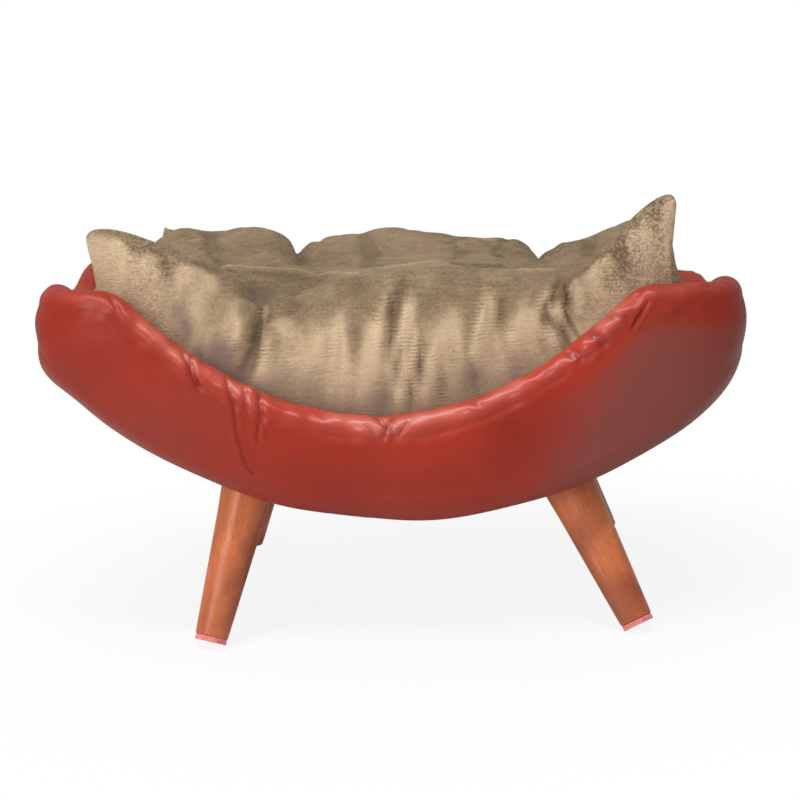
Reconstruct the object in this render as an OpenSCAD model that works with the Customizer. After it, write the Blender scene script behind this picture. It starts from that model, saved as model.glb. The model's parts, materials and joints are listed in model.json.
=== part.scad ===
// Boat-shaped cat bed: a padded tub covered in leather, on four splayed turned legs,
// with one loose tufted cushion that lifts out.
// X runs along the bed, the front faces -Y, and the feet stand on Z = 0.
//
// The tub is one ring. plan_xy() gives its outline from above, rim_z() the top of the wall
// and under_z() the underside, and every layer of the wall is a section carried round it.

/* [Tub] */
// Overall length of the tub
tub_l = 606; // [540:2:660]
// Overall depth of the tub, front to back
tub_d = 372; // [340:2:400]
// Squareness of the tub from above: 2 is an ellipse
plan_power = 6; // [4.5:0.1:6.5]
// How far the ends and the sides bow out between their corners
side_bow = 3; // [2:0.5:8]
// Height of the lowest point of the underside above the floor
under_low = 102; // [92:1:120]
// Rise of the underside from its lowest point to an end
under_rise = 122; // [100:1:130]
// Height of the wall at its lowest, from the underside to the rim
wall_h = 90; // [84:1:105]
// Rise of the rim from its lowest point to the corners
rim_rise = 106; // [90:1:112]
// How much lower the rim levels off at the back right corner
back_right_drop = 20; // [0:1:26]
// Distance along X over which the rim rises
rim_run = 218; // [205:1:235]
// How far the rim drops between the corners of each end
end_dip = 22; // [10:1:44]
// Place of the lowest point of the rim along X, off centre as hand-covered tubs are
rim_mid_x = -10; // [-16:1:16]
// Place of the lowest point of the underside along X
under_mid_x = 8; // [-16:1:16]
// How far the tub sits lower at its right end, where the legs lean out more, and higher at its left
level_drop = 8; // [-9:0.5:9]

/* [Wall] */
// Thickness of the padded wall
wall_t = 30; // [28:0.5:34]
// Radius of the padded lower edge
edge_r = 26; // [22:0.5:27]
// How far the cover is pulled under the tub, past the rounded edge
tuck = 6; // [4:0.5:8]
// Thickness of the leather
leather_t = 1.2; // [0.8:0.1:1.6]
// Thickness of the plywood wall boards
board_t = 12; // [9:0.5:13]
// Foam between a wall board and the leather inside the tub
inner_foam_t = 3.6; // [3:0.1:5]
// How far the face draws in below the rim
face_nip = 2.5; // [0:0.1:4]
// Foam over the top edge of the wall boards
rim_foam_t = 17; // [16:0.5:22]

/* [Floor] */
// Foam below the floor board
under_foam_t = 6.4; // [5:0.1:8]
// Thickness of the bent floor board
floor_board_t = 9; // [7:0.5:12]
// Thickness of the two cross rails that take the leg bolts
rail_t = 10; // [9:0.5:12]
// Width of the cross rails
rail_w = 56; // [44:1:70]
// Foam between the rails and the lining
rail_foam_t = 0.8; // [0.5:0.1:3]
// Thickness of the lining and of the cloth underneath
cloth_t = 0.8; // [0.5:0.1:1.2]
// How far the cloth underneath laps over the edge of the leather
cloth_lap = 4; // [2:0.5:5]

/* [Legs] */
// Diameter of a leg at the top
leg_top_d = 44; // [38:1:48]
// Diameter of a leg at the foot
leg_foot_d = 28; // [24:1:34]
// Distance from the left end of the tub to where the axes of the left legs meet the underside
left_leg_in = 176; // [150:1:195]
// Distance from the right end of the tub to where the axes of the right legs meet the underside
right_leg_in = 157; // [147:1:185]
// Gap between the top of a leg and the edge of the leather under the tub
leg_gap = 2; // [0:0.5:8]
// Lean of the left legs along X, in degrees
left_lean = 15.7; // [5:0.1:26]
// Lean of the right legs along X, in degrees
right_lean = 24.8; // [5:0.1:26]
// Lean of all the legs to the front or back, in degrees
side_lean = 19.4; // [4:0.1:22]
// Thickness of the felt pads
felt_t = 4.5; // [3:0.5:6]
// How much of a felt pad is pressed flat where it stands
felt_press = 1.6; // [1:0.1:2.4]

/* [Cushion] */
// Height of the front row of tufts above the lowest point of the rim
front_crown = 102; // [70:1:120]
// Height of the back row of tufts above the lowest point of the rim
back_crown = 130; // [90:1:140]
// Depth of the channels between the tufts
channel_depth = 24; // [8:1:32]
// Place of the channels to the left and right of the centre
channel_x = 136; // [110:1:160]
// Half width of a channel
channel_w = 22; // [14:1:30]
// How far the front and back draw in at the channels
side_pinch = 12; // [0:1:18]
// Height of the front left corner above its edge seam
front_left_ear = 54; // [20:1:80]
// Height of the front right corner above its edge seam
front_right_ear = 76; // [20:1:90]
// Height of the two back corners above their edge seam
back_ear = 40; // [10:1:70]
// How far down from its tip a corner spreads
ear_reach = 105; // [60:1:130]
// How far a corner tip leans out over the rim
ear_out = 4; // [0:1:20]

/* [Fixings] */
// Diameter of the leg bolts
bolt_d = 8; // [6:0.5:8]
// Length of bolt inside a leg
bolt_in_leg = 34; // [20:1:45]
// Diameter of a T-nut's flange
nut_flange_d = 16; // [14:0.5:18]
// Thickness of a T-nut's flange
nut_flange_t = 1.4; // [1:0.1:2]
// Diameter of a T-nut's barrel
nut_barrel_d = 10.5; // [10:0.5:12]
// Length of a frame screw
screw_l = 30; // [22:1:36]
// Diameter of a frame screw
screw_d = 3.5; // [3:0.1:4]
// Width of a staple
staple_w = 10; // [6:0.5:12]
// Thickness of a staple's wire
staple_t = 0.7; // [0.5:0.1:1]

/* [Hidden] */
$fn = 64;

layer_gap = 0.2;
soft_gap = 0.8;
rest_gap = 0.3;
seam_gap = 0.3;
cut = 1;
half_l = tub_l / 2;
half_d = tub_d / 2;
roll_r = wall_t / 2;
roll_blend = 16;

// Places across the wall, measured out from the face of the tub
inner_board_u = -wall_t + leather_t + inner_foam_t + 2 * layer_gap;
outer_board_u = inner_board_u + board_t;
tuck_u = -edge_r - tuck;

// Heights of the layers above the underside
board_low = leather_t + under_foam_t + 2 * layer_gap;
rail_low = board_low + floor_board_t + layer_gap;
foot_low = rail_low + layer_gap;
rail_high = rail_low + rail_t;
lining_low = rail_high + rail_foam_t + 2 * layer_gap;
floor_high = lining_low + cloth_t;
cushion_low = floor_high + rest_gap;
board_drop = rim_foam_t + soft_gap;
all_high = under_low + wall_h + rim_rise + wall_t;

// Degrees in a quarter turn
quarter = 90;

// The ring is carried round in stations, gathered by some degrees at the corners, and sewn
// at four seams
station = 4;
gather = 5.6;
plan_step = 0.5;
seam_angle = 22;
curve_steps = 24;
roll_step = 30;
edge_step = 30;
joint_share = 0.82;
board_joint = half_l * joint_share;
dip_share = 0.6;
nip_height_share = 0.78;
crown_height_share = 0.5;

leather_red = [0.66, 0.13, 0.08];
ply_tan = [0.80, 0.64, 0.44];
foam_cream = [0.92, 0.88, 0.74];
leg_brown = [0.48, 0.22, 0.11];
felt_pink = [0.93, 0.48, 0.47];
velvet_taupe = [0.60, 0.52, 0.40];
fibre_white = [0.95, 0.95, 0.93];
cloth_black = [0.08, 0.08, 0.08];
zinc_grey = [0.72, 0.73, 0.75];

// The lesser of two heights, blended over the distance r where they cross
function soft_min(a, b, r) = min(a, b) - pow(max(r - abs(a - b), 0), 2) / (4 * r);

function smooth_step(t) = let (c = min(max(t, 0), 1)) c * c * (3 - 2 * c);

// Point of the tub's outline from above at p degrees round the ring. It lies on
// |x|^n + |y|^n = 1, stretched to the length and depth, with the corners drawn in by the bow.
function plan_edge(p) =
    let (
        k = pow(pow(abs(cos(p)), plan_power) + pow(abs(sin(p)), plan_power), -1 / plan_power),
        x = k * cos(p),
        y = k * sin(p)
    )
    [x * (half_l - side_bow * y * y), y * (half_d - side_bow * x * x)];

// The same point moved out by u, square to the outline
function plan_xy(p, u) =
    let (along = plan_edge(p + plan_step) - plan_edge(p - plan_step))
    plan_edge(p) + u * [along[1], -along[0]] / norm(along);

function plan_normal(p) = plan_xy(p, 1) - plan_xy(p, 0);

// The tub sits a little out of level on its legs
function off_level(x) = level_drop * x / half_l;

// Height of the underside: a parabola along X
function under_z(x) = under_low + under_rise * pow((x - under_mid_x) / half_l, 2) - off_level(x);

function under_slope(x) = 2 * under_rise * (x - under_mid_x) / (half_l * half_l) - level_drop / half_l;

// How far the rim rises to a corner
function corner_rise(x, y) =
    rim_rise - (x > 0 ? back_right_drop * smooth_step((y / (half_d * dip_share) + 1) / 2) : 0);

// Height of the rim: a parabola that levels off at the corners and dips across the ends
function long_rim_z(x, y) =
    under_low + wall_h - off_level(x)
    + soft_min(rim_rise * pow((x - rim_mid_x) / rim_run, 2), corner_rise(x, y), roll_blend);

function end_drop(y) = end_dip * pow(1 - pow(min(1, abs(y) / (half_d * dip_share)), 2), 2);

function rim_z(x, y) = long_rim_z(x, y) - end_drop(y);

// A section point is [u, share, rise]: its place across the wall, its share of the height
// from underside to rim, and a rise added to that
function ring_point(p, q) =
    let (
        face = plan_xy(p, 0),
        place = plan_xy(p, q[0]),
        low = under_z(place[0]),
        high = rim_z(face[0], face[1])
    )
    [place[0], place[1], low + q[1] * (high - low) + q[2]];

// What is added at a share of the face's height, so that the face runs from the roll to the edge
function face_rise(share) = edge_r * (1 - share) - roll_r * share;

// The outer skin of the wall, moved in by e: up the inside of the tub, over the rolled rim,
// down the face and round the lower edge to the tuck
function skin_path(e, foot) = concat(
    [[-wall_t + e, 0, foot]],
    [for (a = [180:-roll_step:0])
        [-roll_r + (roll_r - e) * cos(a), 1, -roll_r + (roll_r - e) * sin(a)]],
    [[-face_nip - e, nip_height_share, face_rise(nip_height_share)]],
    [[-e, crown_height_share, face_rise(crown_height_share)]],
    [for (a = [0:-edge_step:-90])
        [-edge_r + (edge_r - e) * cos(a), 0, edge_r + (edge_r - e) * sin(a)]],
    [[tuck_u, 0, e]]
);

// Draws the stations of the ring together at the corners
function gathered(p) = p + gather * sin(4 * p);

function turned_round(list) = [for (i = [len(list) - 1:-1:0]) list[i]];

// Triangles between two rows of points, each time across the shorter diagonal
function strip(points, a, b, i = 0, j = 0) =
    let (a_ends = i == len(a) - 1, b_ends = j == len(b) - 1)
    a_ends && b_ends ? []
    : b_ends || (!a_ends && norm(points[a[i + 1]] - points[b[j]]) < norm(points[a[i]] - points[b[j + 1]]))
    ? concat([[a[i], a[i + 1], b[j]]], strip(points, a, b, i + 1, j))
    : concat([[a[i], b[j + 1], b[j]]], strip(points, a, b, i, j + 1));

// Carries the section between an outer and an inner path round the ring from p0 to p1 degrees
module ring_sweep(p0, p1, outer, inner) {
    gap_angle = asin(seam_gap / tub_l);
    first = p0 + gap_angle;
    last = p1 - gap_angle;
    n = ceil((last - first) / station);
    section = concat(outer, turned_round(inner));
    m = len(section);
    points = [for (i = [0:n]) for (q = section) ring_point(gathered(first + (last - first) * i / n), q)];
    outer_row = [for (j = [0:len(outer) - 1]) j];
    inner_row = [for (j = [m - 1:-1:len(outer)]) j];
    start_cap = strip(points, outer_row, inner_row);
    end_cap = [for (f = start_cap) [for (j = turned_round(f)) j + n * m]];
    // Each cell is split along its shorter diagonal, so that layers that face each other agree
    walls = [for (i = [0:n - 1]) for (j = [0:m - 1])
        let (a = i * m + j, b = i * m + (j + 1) % m, c = b + m, d = a + m)
        each norm(points[a] - points[c]) < norm(points[b] - points[d])
            ? [[a, c, b], [a, d, c]]
            : [[a, d, b], [b, d, c]]];
    polyhedron(points, concat(start_cap, end_cap, walls), convexity = 8);
}

module leather(p0, p1) {
    color(leather_red)
    ring_sweep(p0, p1, skin_path(0, foot_low), skin_path(leather_t, foot_low));
}

// Foam that wraps the wall board: over its top, down both sides and round the lower edge
module padding(p0, p1) {
    skin = leather_t + layer_gap;
    outer_u = outer_board_u + layer_gap;
    inner_u = inner_board_u - layer_gap;
    color(foam_cream)
    ring_sweep(p0, p1, skin_path(skin, foot_low), [
        [inner_u, 0, foot_low],
        [inner_u, 1, -rim_foam_t],
        [outer_u, 1, -rim_foam_t],
        [outer_u, 0, board_low - soft_gap],
        [tuck_u, 0, board_low - soft_gap]
    ]);
}

function plan_outline(u) =
    [for (p = [station / 2:station:4 * quarter]) plan_xy(gathered(p), u)];

function steps_along(x0, x1) = [for (i = [0:curve_steps]) x0 + (x1 - x0) * i / curve_steps];

// A slab that follows the underside, between two heights above it
module under_band(low, high, x0 = -half_l, x1 = half_l) {
    xs = steps_along(x0, x1);
    translate([0, half_d, 0])
    rotate([90, 0, 0])
    linear_extrude(tub_d)
    polygon(concat(
        [for (x = xs) [x, under_z(x) + low]],
        [for (x = turned_round(xs)) [x, under_z(x) + high]]
    ));
}

// What lies between two places along X
module between(x0, x1) {
    intersection() {
        children();
        translate([x0, -half_d, 0]) cube([x1 - x0, tub_d, all_high]);
    }
}

// A sheet inside the tub that follows the underside
module curved_sheet(u, low, high) {
    intersection() {
        under_band(low, high);
        linear_extrude(all_high) polygon(plan_outline(u));
    }
}

module wall_band() {
    linear_extrude(all_high)
    difference() {
        polygon(plan_outline(outer_board_u));
        polygon(plan_outline(inner_board_u));
    }
}

// Turns the Z axis to the direction d at the point at
module aim(at, d) {
    translate(at)
    rotate([0, acos(d[2] / norm(d)), atan2(d[1], d[0])])
    children();
}

// Frame screws run from the wall boards into the edge of the floor board
end_screw_angle = 12;
side_screw_angle = 20;
side_screws = 5;
screw_angles = [for (end = [0, 2 * quarter]) each concat(
    [end - end_screw_angle, end + end_screw_angle],
    [for (i = [1:side_screws]) end + quarter + (i - (side_screws + 1) / 2) * side_screw_angle]
)];
screw_head_d = 2 * screw_d;
screw_head_h = screw_d / 2 * 1.4;
screw_clear = 0.1;
screw_sink = 0.6;

module frame_screw_shapes(extra) {
    for (p = screw_angles) {
        way = -plan_normal(p);
        rise = way[0] * under_slope(plan_edge(p)[0]);
        place = plan_xy(p, outer_board_u - screw_sink - screw_head_d / 2 * abs(rise) / norm([1, rise]));
        height = under_z(place[0]) + board_low + floor_board_t / 2;
        aim([place[0], place[1], height], [way[0], way[1], rise]) {
            cylinder(h = screw_l + extra, d = screw_d + 2 * extra);
            cylinder(h = screw_head_h + extra, d1 = screw_head_d + 2 * extra, d2 = screw_d + 2 * extra);
            if (extra > 0)
                translate([0, 0, -screw_head_d]) cylinder(h = screw_head_d, d = screw_head_d + 2 * extra);
        }
    }
}

module frame_screws() {
    color(zinc_grey) frame_screw_shapes(0);
}

// The crescent from the underside to the rim at y that the wall boards are cut to
module crescent(y) {
    xs = steps_along(-half_l, half_l);
    translate([0, half_d, 0])
    rotate([90, 0, 0])
    linear_extrude(tub_d)
    polygon(concat(
        [for (x = xs) [x, under_z(x) + board_low]],
        [for (x = turned_round(xs)) [x, long_rim_z(x, y) - board_drop]]
    ));
}

// Front and back boards are bent to the plan
module long_board(side) {
    color(ply_tan)
    difference() {
        intersection() {
            wall_band();
            between(-board_joint, board_joint) crescent(side * half_d);
            translate([-half_l, side > 0 ? 0 : -half_d, 0]) cube([tub_l, half_d, all_high]);
        }
        frame_screw_shapes(screw_clear);
    }
}

// End boards close the ring and dip between their corners
module end_board(side) {
    joint = board_joint + layer_gap;
    ys = steps_along(-half_d, half_d);
    color(ply_tan)
    difference() {
        intersection() {
            wall_band();
            between(side > 0 ? joint : -half_l, side > 0 ? half_l : -joint) crescent(-half_d);
            translate([side > 0 ? 0 : -tub_l, 0, 0])
            rotate([90, 0, 90])
            linear_extrude(tub_l)
            polygon(concat(
                [[half_d, 0], [-half_d, 0]],
                [for (y = ys) [y, rim_z(side * half_l, y) - board_drop]]
            ));
        }
        frame_screw_shapes(screw_clear);
    }
}

module front_board() {
    long_board(-1);
}

module back_board() {
    long_board(1);
}

module left_end_board() {
    end_board(-1);
}

module right_end_board() {
    end_board(1);
}

// Each leg is placed by its foot. Its axis leans in and up to the underside.
felt_inset = 0.5;
felt_d = leg_foot_d - 2 * felt_inset;
leg_y = half_d + tuck_u - leg_gap - leg_top_d / 2;
bolt_clear = 0.3;
leg_into = 14;
leg_seat = cloth_t + rest_gap + layer_gap;
nut_sink = 4;

function leg_x(side) = side * half_l - (side > 0 ? right_leg_in : -left_leg_in);

function leg_lean(side) = side > 0 ? right_lean : left_lean;

// Upward direction of a leg's axis, one unit high
function leg_way(sx, sy) = [-sx * tan(leg_lean(sx)), -sy * tan(side_lean), 1];

function leg_tilt(sx) = acos(1 / norm(leg_way(sx, 1)));

function foot_z(sx) =
    felt_t * cos(leg_tilt(sx)) + felt_d / 2 * sin(leg_tilt(sx)) - felt_press;

function leg_joint(sx, sy) = [leg_x(sx), sy * leg_y, under_z(leg_x(sx))];

function foot_point(sx, sy) =
    let (top = leg_joint(sx, sy))
    top - leg_way(sx, sy) * (top[2] - foot_z(sx));

function leg_length(sx) = norm(leg_joint(sx, 1) - foot_point(sx, 1));

// The height of the rail's top, followed up the leg's axis
function nut_seat(sx) = leg_length(sx) + (rail_high - nut_sink) * norm(leg_way(sx, 1))
    / (1 + sx * tan(leg_lean(sx)) * under_slope(leg_x(sx)));

module at_leg(sx, sy) {
    aim(foot_point(sx, sy), leg_way(sx, sy)) children();
}

module each_leg() {
    for (sx = [-1, 1]) for (sy = [-1, 1]) at_leg(sx, sy) {
        if (sx < 0) children(0);
        else children(1);
    }
}

module bolt_shape(sx, extra) {
    low = leg_length(sx) - bolt_in_leg - extra;
    translate([0, 0, low]) cylinder(h = nut_seat(sx) - low, d = bolt_d + 2 * extra);
}

module bolt_holes() {
    each_leg() {
        bolt_shape(-1, bolt_clear);
        bolt_shape(1, bolt_clear);
    }
}

module leg_bolts() {
    color(zinc_grey)
    each_leg() {
        bolt_shape(-1, 0);
        bolt_shape(1, 0);
    }
}

nut_clear = 0.3;
nut_barrel_h = rail_t - nut_sink - layer_gap;

module nut_shape(sx, extra) {
    translate([0, 0, nut_seat(sx) - nut_barrel_h - extra])
    cylinder(h = nut_barrel_h + extra, d = nut_barrel_d + 2 * extra);
    translate([0, 0, nut_seat(sx)])
    cylinder(h = extra > 0 ? rail_t : nut_flange_t, d = nut_flange_d + 2 * extra);
}

module nut_holes() {
    each_leg() {
        nut_shape(-1, nut_clear);
        nut_shape(1, nut_clear);
    }
}

module leg_t_nuts() {
    color(zinc_grey)
    difference() {
        each_leg() {
            nut_shape(-1, 0);
            nut_shape(1, 0);
        }
        bolt_holes();
    }
}

// A rail lies across the floor board over each pair of legs
module leg_rail(side) {
    middle = leg_x(side) + side * -tan(leg_lean(side)) * rail_high / 2;
    color(ply_tan)
    difference() {
        intersection() {
            between(middle - rail_w / 2, middle + rail_w / 2) under_band(rail_low, rail_high);
            linear_extrude(all_high) polygon(plan_outline(-wall_t - layer_gap));
        }
        nut_holes();
        bolt_holes();
    }
}

module left_leg_rail() {
    leg_rail(-1);
}

module right_leg_rail() {
    leg_rail(1);
}

module floor_board() {
    color(ply_tan)
    difference() {
        curved_sheet(inner_board_u - layer_gap, board_low, board_low + floor_board_t);
        bolt_holes();
        nut_holes();
        frame_screw_shapes(screw_clear);
    }
}

module floor_padding() {
    color(foam_cream)
    difference() {
        curved_sheet(-wall_t - layer_gap, rail_low, lining_low - layer_gap);
        for (side = [-1, 1]) {
            middle = leg_x(side) + side * -tan(leg_lean(side)) * rail_high / 2;
            reach = rail_w / 2 + layer_gap;
            between(middle - reach, middle + reach) under_band(rail_low - cut, rail_high + layer_gap);
        }
        nut_holes();
    }
}

module floor_lining() {
    color(leather_red) curved_sheet(-wall_t - layer_gap, lining_low, floor_high);
}

module underside_padding() {
    color(foam_cream)
    difference() {
        curved_sheet(tuck_u - layer_gap, 0, board_low - layer_gap);
        bolt_holes();
    }
}

module underside_cloth() {
    color(cloth_black)
    difference() {
        curved_sheet(tuck_u + cloth_lap, -cloth_t - layer_gap, -layer_gap);
        bolt_holes();
    }
}

// Staples hold the cloth and the leather's edge to the floor board
staple_count = 30;
staple_leg = 2 * staple_t;

module cloth_staples() {
    color(zinc_grey)
    for (i = [0:staple_count - 1]) {
        p = (i + 1 / 2) * 4 * quarter / staple_count;
        place = plan_xy(p, tuck_u + cloth_lap / 2);
        out = plan_normal(p);
        low = under_z(place[0]) - cloth_t - 2 * layer_gap - staple_t;
        translate([place[0], place[1], low])
        rotate([0, -atan(under_slope(place[0])), 0])
        rotate([0, 0, atan2(out[1], out[0])])
        translate([-staple_t / 2, -staple_w / 2, 0])
        cube([staple_t, staple_w, staple_t]);
    }
}

// A leg is turned: a slight swell below the top, a straight taper and an eased foot.
// Its top is cut to the underside that it is drawn up against.
swell_t = 0.8;
leg_ease = 1.2;
swell_share = 0.72;

module turned_leg(sx) {
    high = leg_length(sx) + leg_into;
    foot_r = leg_foot_d / 2;
    top_r = leg_top_d / 2;
    rotate_extrude()
    polygon([
        [0, 0],
        [foot_r - leg_ease, 0],
        [foot_r, leg_ease],
        [foot_r + (top_r - foot_r) * swell_share / 2 + swell_t / 2, high * swell_share / 2],
        [foot_r + (top_r - foot_r) * swell_share + swell_t, high * swell_share],
        [top_r + swell_t / 2, high * (1 + swell_share) / 2],
        [top_r, high],
        [0, high]
    ]);
}

module leg(sx, sy) {
    color(leg_brown)
    difference() {
        at_leg(sx, sy) turned_leg(sx);
        at_leg(sx, sy) bolt_shape(sx, 0);
        under_band(-leg_seat, wall_h, leg_x(sx) - leg_top_d, leg_x(sx) + leg_top_d);
    }
}

module front_left_leg() {
    leg(-1, -1);
}

module front_right_leg() {
    leg(1, -1);
}

module back_left_leg() {
    leg(-1, 1);
}

module back_right_leg() {
    leg(1, 1);
}

// A felt pad is pressed flat along the inner edge, where the leaning leg stands. Half a turn
// keeps the seam of its round side away from that cut.
module felt(sx, sy) {
    color(felt_pink)
    difference() {
        at_leg(sx, sy)
        rotate([0, 0, 2 * quarter])
        translate([0, 0, -felt_t])
        cylinder(h = felt_t, d = felt_d);
        translate(foot_point(sx, sy) - [felt_d, felt_d, foot_z(sx) + leg_foot_d])
        cube([2 * felt_d, 2 * felt_d, leg_foot_d]);
    }
}

module front_left_felt() {
    felt(-1, -1);
}

module front_right_felt() {
    felt(1, -1);
}

module back_left_felt() {
    felt(-1, 1);
}

module back_right_felt() {
    felt(1, 1);
}

// The cushion is two sheets sewn round the edge, over a grid of s along X and t along Y
// from -1 to 1. Both follow the inside of the tub, and the corners stand up as ears.
cushion_u = -wall_t - rest_gap;
seam_drop = 12;
dome_power = 6;
floor_power = 10;
ear_power = 1.4;
cushion_columns = 32;
cushion_rows = 18;

function side_of(v) = v < 0 ? -1 : 1;

function ear_height(s, t) = t > 0 ? back_ear : (s > 0 ? front_right_ear : front_left_ear);

// How much of an ear is felt at a place in the plan, 1 at its tip
function ear_weight(place, s, t) =
    let (tip = plan_xy(atan2(side_of(t), side_of(s)), cushion_u))
    pow(max(0, 1 - norm(place - tip) / ear_reach), ear_power);

function gauss(d) = exp(-d * d);

// Height of the top before the edges turn down: two rows and three columns of tufts
function crown_z(x, y) =
    let (
        rows = front_crown + (back_crown - front_crown) * smooth_step((y + half_d / 4) / (half_d / 2)),
        columns = max(gauss((abs(x) - channel_x) / channel_w), 0.7 * gauss(y / channel_w))
    )
    under_low + wall_h + rows - channel_depth * columns - off_level(x);

// A point of the top sheet (face 1) or the bottom sheet (face 0)
function cushion_point(s, t, face) =
    let (
        m = max(abs(s), abs(t)),
        p = atan2(t, s),
        edge = plan_xy(p, 0),
        flat = plan_xy(p, cushion_u) * m,
        pinch = side_pinch * gauss((abs(flat[0]) - channel_x) / channel_w) * abs(flat[1]) / half_d,
        place = [flat[0], flat[1] - sign(flat[1]) * pinch],
        ear = ear_weight(flat, s, t),
        rim = rim_z(edge[0], edge[1]),
        seam = rim - seam_drop + ear_height(s, t) * ear,
        low = under_z(place[0]) + cushion_low,
        top = seam + (crown_z(flat[0], flat[1]) + ear_height(s, t) * ear / 2 - seam)
            * sqrt(max(0, 1 - pow(m, dome_power))),
        bottom = seam - (seam - low) * sqrt(max(0, 1 - pow(m, floor_power))),
        z = face == 1 ? top : bottom,
        over = smooth_step((z - rim - 2 * rest_gap) / roll_r)
    )
    [place[0] + sign(s) * ear_out * ear * ear * over, place[1], z];

// The two triangles of a cell, split from the middle of the sheet towards its corner
function cell_faces(q, toward_corner) = toward_corner
    ? [[q[0], q[1], q[2]], [q[0], q[2], q[3]]]
    : [[q[0], q[1], q[3]], [q[1], q[2], q[3]]];

// Both sheets are a grid, and they share the points of the sewn edge
module cushion() {
    stride = cushion_columns + 1;
    sheet = stride * (cushion_rows + 1);
    points = [for (face = [1, 0]) for (j = [0:cushion_rows]) for (i = [0:cushion_columns])
        cushion_point(2 * i / cushion_columns - 1, 2 * j / cushion_rows - 1, face)];
    function on_edge(i, j) = i == 0 || j == 0 || i == cushion_columns || j == cushion_rows;
    function top_index(i, j) = j * stride + i;
    function low_index(i, j) = top_index(i, j) + (on_edge(i, j) ? 0 : sheet);
    function leans(i, j) = (i < cushion_columns / 2) == (j < cushion_rows / 2);
    cells = [for (j = [0:cushion_rows - 1]) for (i = [0:cushion_columns - 1]) [i, j]];
    upper = [for (c = cells) each cell_faces(
        [top_index(c[0], c[1]), top_index(c[0] + 1, c[1]),
            top_index(c[0] + 1, c[1] + 1), top_index(c[0], c[1] + 1)],
        leans(c[0], c[1]))];
    lower = [for (c = cells) each cell_faces(
        [low_index(c[0], c[1]), low_index(c[0] + 1, c[1]),
            low_index(c[0] + 1, c[1] + 1), low_index(c[0], c[1] + 1)],
        leans(c[0], c[1]))];
    color(velvet_taupe)
    polyhedron(points, concat([for (f = upper) turned_round(f)], lower), convexity = 8);
}

module front_padding() {
    padding(180 + seam_angle, 360 - seam_angle);
}

module back_padding() {
    padding(seam_angle, 180 - seam_angle);
}

module left_end_padding() {
    padding(180 - seam_angle, 180 + seam_angle);
}

module right_end_padding() {
    padding(-seam_angle, seam_angle);
}

module front_cover() {
    leather(180 + seam_angle, 360 - seam_angle);
}

module back_cover() {
    leather(seam_angle, 180 - seam_angle);
}

module left_end_cover() {
    leather(180 - seam_angle, 180 + seam_angle);
}

module right_end_cover() {
    leather(-seam_angle, seam_angle);
}

front_board();
back_board();
left_end_board();
right_end_board();
floor_board();
left_leg_rail();
right_leg_rail();
frame_screws();
leg_t_nuts();
leg_bolts();
front_padding();
back_padding();
left_end_padding();
right_end_padding();
underside_padding();
floor_padding();
front_cover();
back_cover();
left_end_cover();
right_end_cover();
floor_lining();
underside_cloth();
cloth_staples();
front_left_leg();
front_right_leg();
back_left_leg();
back_right_leg();
front_left_felt();
front_right_felt();
back_left_felt();
back_right_felt();
cushion();
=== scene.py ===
import json
import math

import bpy
import numpy as np
from mathutils import Matrix, Vector


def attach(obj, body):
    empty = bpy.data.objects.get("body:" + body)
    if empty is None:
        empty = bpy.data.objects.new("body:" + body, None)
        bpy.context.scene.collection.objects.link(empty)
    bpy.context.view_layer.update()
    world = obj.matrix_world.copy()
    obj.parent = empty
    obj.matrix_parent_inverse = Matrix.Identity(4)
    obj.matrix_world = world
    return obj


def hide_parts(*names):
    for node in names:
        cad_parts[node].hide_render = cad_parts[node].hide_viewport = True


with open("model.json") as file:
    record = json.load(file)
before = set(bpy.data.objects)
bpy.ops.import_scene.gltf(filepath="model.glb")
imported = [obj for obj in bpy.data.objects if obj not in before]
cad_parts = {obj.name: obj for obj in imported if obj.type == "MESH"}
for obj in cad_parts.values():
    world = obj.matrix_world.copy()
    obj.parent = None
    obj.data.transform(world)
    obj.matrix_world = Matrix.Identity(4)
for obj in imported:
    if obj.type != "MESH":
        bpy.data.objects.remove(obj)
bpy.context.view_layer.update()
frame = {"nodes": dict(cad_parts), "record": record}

mm = 0.001
scene = bpy.context.scene

# The tub's own form, in millimetres, as the CAD part has it.
tub = {
    "halfLength": 303, "halfDepth": 186, "squareness": 6, "bow": 3,
    "underLow": 102, "underRise": 122, "underMiddle": 8,
    "wallHeight": 90, "rimRise": 106, "rimRun": 218, "rimMiddle": -10, "rimBlend": 16,
    "backRightDrop": 20, "endDip": 22, "dipShare": 0.6, "offLevel": 8,
    "wall": 30, "edgeRadius": 26, "tuck": 6, "foot": 19.8,
    "seamAngle": 22, "gather": 5.6,
}


def smoothStep(t):
    t = np.clip(t, 0, 1)
    return t * t * (3 - 2 * t)


def fade(value, start, end):
    # 0 up to the start and 1 past the end, which may be the lower of the two.
    return smoothStep((value - start) / (end - start))


def bell(value, middle, width):
    return np.exp(-((value - middle) / width) ** 2)


def planEdge(angle):
    # The tub's outline from above: |x|^n + |y|^n = 1, stretched to the length and depth, with
    # the corners drawn in by the bow.
    n = tub["squareness"]
    c, s = np.cos(angle), np.sin(angle)
    reach = (np.abs(c) ** n + np.abs(s) ** n) ** (-1 / n)
    x, y = reach * c, reach * s
    return x * (tub["halfLength"] - tub["bow"] * y ** 2), y * (tub["halfDepth"] - tub["bow"] * x ** 2)


def planPoint(angle, out):
    # The outline moved out along its normal, found from the outline half a degree either way.
    step = math.radians(0.5)
    beforeX, beforeY = planEdge(angle - step)
    afterX, afterY = planEdge(angle + step)
    alongX, alongY = afterX - beforeX, afterY - beforeY
    size = np.hypot(alongX, alongY)
    x, y = planEdge(angle)
    return x + out * alongY / size, y - out * alongX / size


def underHeight(x):
    # A parabola along X, less the tub's small lean to its right end.
    rise = tub["underRise"] * ((x - tub["underMiddle"]) / tub["halfLength"]) ** 2
    return tub["underLow"] + rise - tub["offLevel"] * x / tub["halfLength"]


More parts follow.
